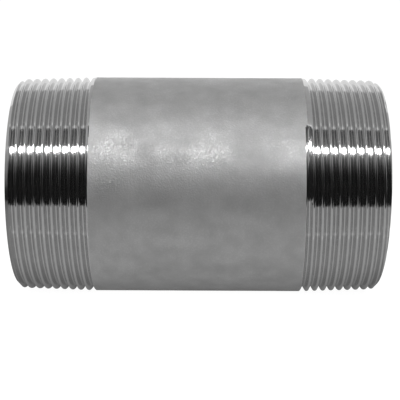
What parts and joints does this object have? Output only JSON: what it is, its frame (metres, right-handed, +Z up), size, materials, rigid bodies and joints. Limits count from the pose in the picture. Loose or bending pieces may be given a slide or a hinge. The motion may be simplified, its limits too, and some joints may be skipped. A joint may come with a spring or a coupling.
{
  "type": "threaded pipe nipple",
  "caption": "Short steel pipe with a right-hand taper pipe thread on each end and a plain barrel between, for joining two female threaded fittings.",
  "frame": {"origin": "on the pipe's axis, midway between the two end faces", "axes": "+X along the pipe's axis, out of the right end; +Z up as the nipple lies on its side; the thread is the same whichever way it is rolled"},
  "size_m": [0.1016, 0.0604, 0.0604],
  "materials": {
    "pickled_skin": "pickled and blasted, matt grey",
    "cut_thread": "bright machined"
  },
  "bodies": {
    "root": {"barrel": "pickled_skin", "threaded_end_left": "cut_thread", "threaded_end_right": "cut_thread"}
  },
  "joints": []
}
